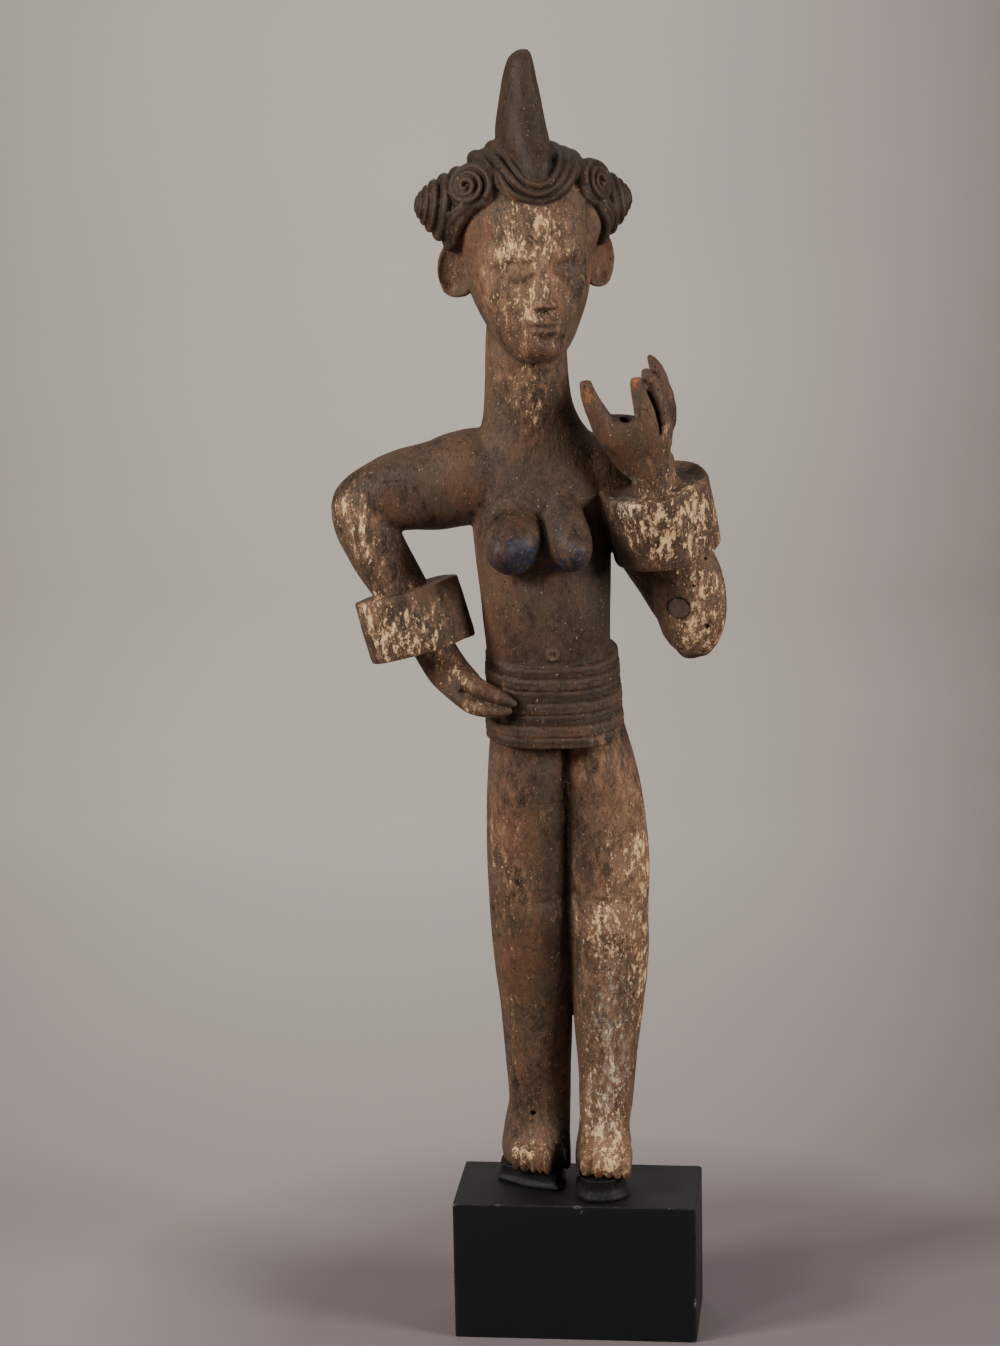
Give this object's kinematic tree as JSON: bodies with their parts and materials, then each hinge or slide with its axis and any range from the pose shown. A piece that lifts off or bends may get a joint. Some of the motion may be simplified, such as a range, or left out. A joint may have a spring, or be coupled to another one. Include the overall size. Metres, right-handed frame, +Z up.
{
  "type": "carved wooden standing female figure on a block base",
  "caption": "Carved wood standing woman with a crested coiffure, one hand on the hip and the other raised, on a black block base.",
  "frame": {"origin": "centre of the block's underside", "axes": "+Z up through the figure, -Y out of the block's front face, +X to the figure's left"},
  "size_m": [0.3566, 0.1649, 1.1975],
  "materials": {
    "carved_wood": "dark brown weathered wood with worn pink, cream and chalk pigment, low sheen on high places",
    "peg_wood": "grey-brown end-grain wood, dull",
    "black_spacer": "satin black paint",
    "black_paint": "satin black paint on wood with small chips on the edges"
  },
  "bodies": {
    "root": {"figure": "carved_wood", "elbow_peg": "peg_wood", "right_foot_pad": "black_spacer", "left_foot_pad": "black_spacer", "base_block": "black_paint"}
  },
  "joints": []
}
